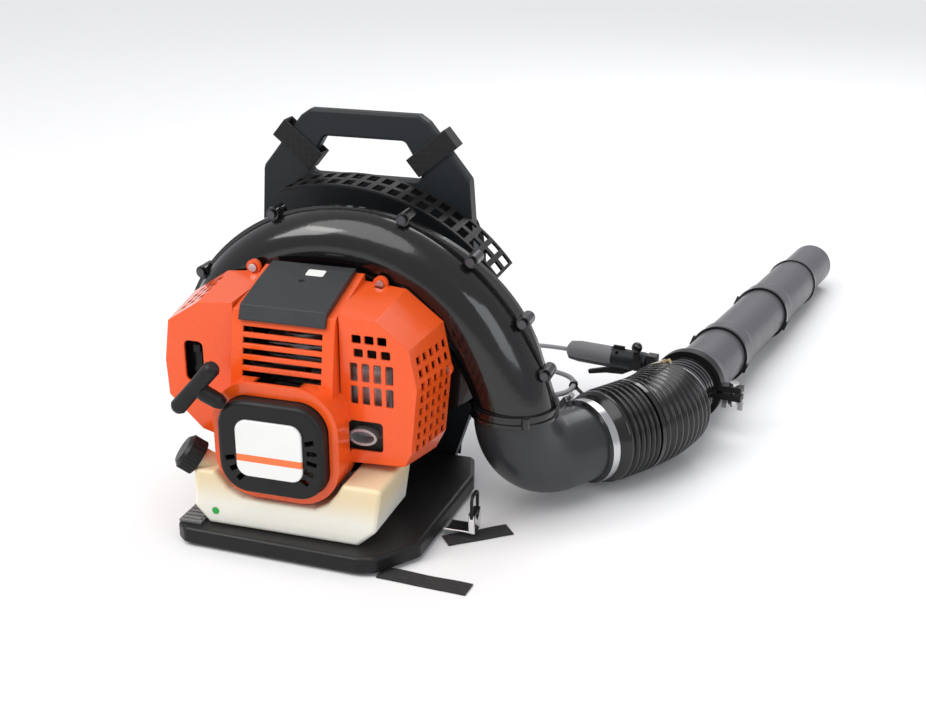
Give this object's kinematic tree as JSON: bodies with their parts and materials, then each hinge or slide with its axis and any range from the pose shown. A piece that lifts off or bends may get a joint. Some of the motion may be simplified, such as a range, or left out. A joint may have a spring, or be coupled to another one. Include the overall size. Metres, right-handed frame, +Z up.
{
  "type": "backpack leaf blower",
  "caption": "Petrol backpack leaf blower: fan case and engine on a carrying frame, with an elbow, flexible bellows, hand throttle and twist-lock blower tubes.",
  "frame": {"origin": "underside of the base on the floor, below the crank axis, at the joint between engine and carrying frame", "axes": "+Z up, -Y towards the engine side, +Y towards the back of the person who carries it and along the blower tubes, +X towards the blower tube side"},
  "size_m": [0.7272, 1.2401, 0.458],
  "materials": {
    "orange_plastic": "glossy injection moulded",
    "black_gloss": "glossy moulded",
    "black_matte": "fine grained",
    "cap_grey": "satin",
    "frame_grey": "fine grained",
    "tube_grey": "satin",
    "tank_white": "translucent moulded",
    "badge_white": "printed plate",
    "bellows_rubber": "glossy rubber",
    "rubber_black": "matt",
    "pad_grey": "ribbed",
    "cast_metal": "cast",
    "steel": "turned",
    "bright_steel": "plated",
    "webbing_black": "woven",
    "pad_foam": "padded mesh cloth",
    "conduit_grey": "corrugated",
    "foam_dark": "filter housing"
  },
  "bodies": {
    "base": {"fan_case_front": "black_gloss", "fan_case_rear": "black_gloss", "housing_screws": "steel", "intake_cage": "black_matte", "crankcase": "cast_metal", "cylinder": "cast_metal", "spark_plug": "steel", "ignition_coil": "black_matte", "plug_lead": "rubber_black", "muffler": "cast_metal", "carburettor": "black_matte", "air_filter": "foam_dark", "fuel_line": "rubber_black", "engine_cover": "orange_plastic", "top_cap": "cap_grey", "starter_housing": "black_matte", "starter_badge": "badge_white", "starter_rope": "webbing_black", "fuel_tank": "tank_white", "base_frame": "frame_grey", "rubber_feet": "rubber_black", "step_pad": "pad_grey", "back_frame": "frame_grey", "harness_webbing": "webbing_black", "vibration_mounts": "rubber_black", "anchor": "bright_steel", "back_pad": "pad_foam", "shoulder_straps": "pad_foam", "strap_buckles": "black_matte", "webbing_tails": "webbing_black", "elbow": "cap_grey", "outlet_collar": "black_matte", "clamp_1": "steel", "bellows_inner": "bellows_rubber", "conduit_lower": "conduit_grey"},
    "crank": {"impeller": "black_matte", "crankshaft": "steel", "flywheel": "cast_metal"},
    "recoil_pulley": {"recoil_pulley": "black_matte"},
    "starter_grip": {"starter_grip": "black_matte"},
    "choke_lever": {"choke_lever": "black_matte"},
    "fuel_cap": {"fuel_cap": "black_matte"},
    "bellows_mid": {"bellows_hoop": "black_matte", "bellows_outer": "bellows_rubber", "conduit_upper": "conduit_grey"},
    "wand": {"end_cuff": "tube_grey", "clamp_2": "steel", "swivel_tube": "bellows_rubber", "control_clamp": "black_matte", "clamp_bolt": "steel", "throttle_grip": "conduit_grey"},
    "wing_nut": {"wing_nut": "steel"},
    "throttle_trigger": {"throttle_trigger": "black_matte"},
    "stop_switch": {"stop_switch": "black_matte"},
    "speed_lever": {"speed_lever": "black_matte"},
    "tube_1": {"tube_1": "tube_grey", "joint_ring_1": "black_matte"},
    "tube_2": {"tube_2": "tube_grey", "joint_ring_2": "black_matte"},
    "nozzle": {"nozzle": "tube_grey"}
  },
  "joints": [
    {"name": "crank_spin", "type": "hinge", "parent": "base", "child": "crank", "pos_m": [0, 0, 0.134], "axis": [0, 1, 0], "continuous": true},
    {"name": "starter_pull", "type": "slide", "parent": "base", "child": "starter_grip", "axis": [-0.6804, -0.4203, 0.6004], "range_m": [0, 0.55], "stiffness_N_per_m": 8, "springref_m": -0.3, "deforming": ["starter_rope"]},
    {"name": "pulley_turn", "type": "hinge", "parent": "base", "child": "recoil_pulley", "pos_m": [0, -0.144, 0.134], "axis": [0, -1, 0], "range_deg": [0, 1440]},
    {"name": "choke_turn", "type": "hinge", "parent": "base", "child": "choke_lever", "pos_m": [-0.117, -0.09, 0.192], "axis": [0, 1, 0], "range_deg": [-20, 20]},
    {"name": "fuel_cap_turn", "type": "hinge", "parent": "base", "child": "fuel_cap", "pos_m": [-0.092, -0.128, 0.084], "axis": [-0.7222, -0.341, 0.6018], "range_deg": [0, 270]},
    {"name": "bellows_swing", "type": "hinge", "parent": "base", "child": "bellows_mid", "pos_m": [0.31859, 0.1543, 0.064], "axis": [0, 0, 1], "range_deg": [-20, 20], "deforming": ["bellows_inner", "conduit_lower"]},
    {"name": "bellows_lift", "type": "hinge", "parent": "bellows_mid", "child": "wand", "pos_m": [0.35948, 0.22318, 0.064], "axis": [0.9877, -0.1564, 0], "range_deg": [0, 40], "deforming": ["bellows_outer", "conduit_upper"]},
    {"name": "wing_nut_turn", "type": "hinge", "parent": "wand", "child": "wing_nut", "pos_m": [0.44722, 0.33856, 0.04816], "axis": [0.0052, 0.0327, 0.9995], "continuous": true},
    {"name": "trigger_squeeze", "type": "hinge", "parent": "wand", "child": "throttle_trigger", "pos_m": [0.30394, 0.36209, 0.07314], "axis": [0.1563, 0.9871, -0.0332], "range_deg": [0, 9], "stiffness_Nm_per_rad": 0.3, "springref_deg": -17.19},
    {"name": "stop_switch_rock", "type": "hinge", "parent": "wand", "child": "stop_switch", "pos_m": [0.28231, 0.36616, 0.09213], "axis": [0.1563, 0.9871, -0.0332], "range_deg": [-8, 8]},
    {"name": "speed_lever_turn", "type": "hinge", "parent": "wand", "child": "speed_lever", "pos_m": [0.31121, 0.34404, 0.0827], "axis": [0.1563, 0.9871, -0.0332], "range_deg": [0, 50]},
    {"name": "tube_1_twist", "type": "hinge", "parent": "wand", "child": "tube_1", "pos_m": [0.38783, 0.37269, 0.06035], "axis": [0.1563, 0.9871, -0.0332], "range_deg": [0, 30]},
    {"name": "tube_2_twist", "type": "hinge", "parent": "tube_1", "child": "tube_2", "pos_m": [0.40816, 0.50102, 0.05604], "axis": [0.1563, 0.9871, -0.0332], "range_deg": [0, 30]},
    {"name": "nozzle_twist", "type": "hinge", "parent": "tube_2", "child": "nozzle", "pos_m": [0.44412, 0.72806, 0.04842], "axis": [0.1563, 0.9871, -0.0332], "range_deg": [0, 30]}
  ],
  "couplings": [
    {"joint": "pulley_turn", "follows": "starter_pull", "rad_per_m": 45.455}
  ]
}
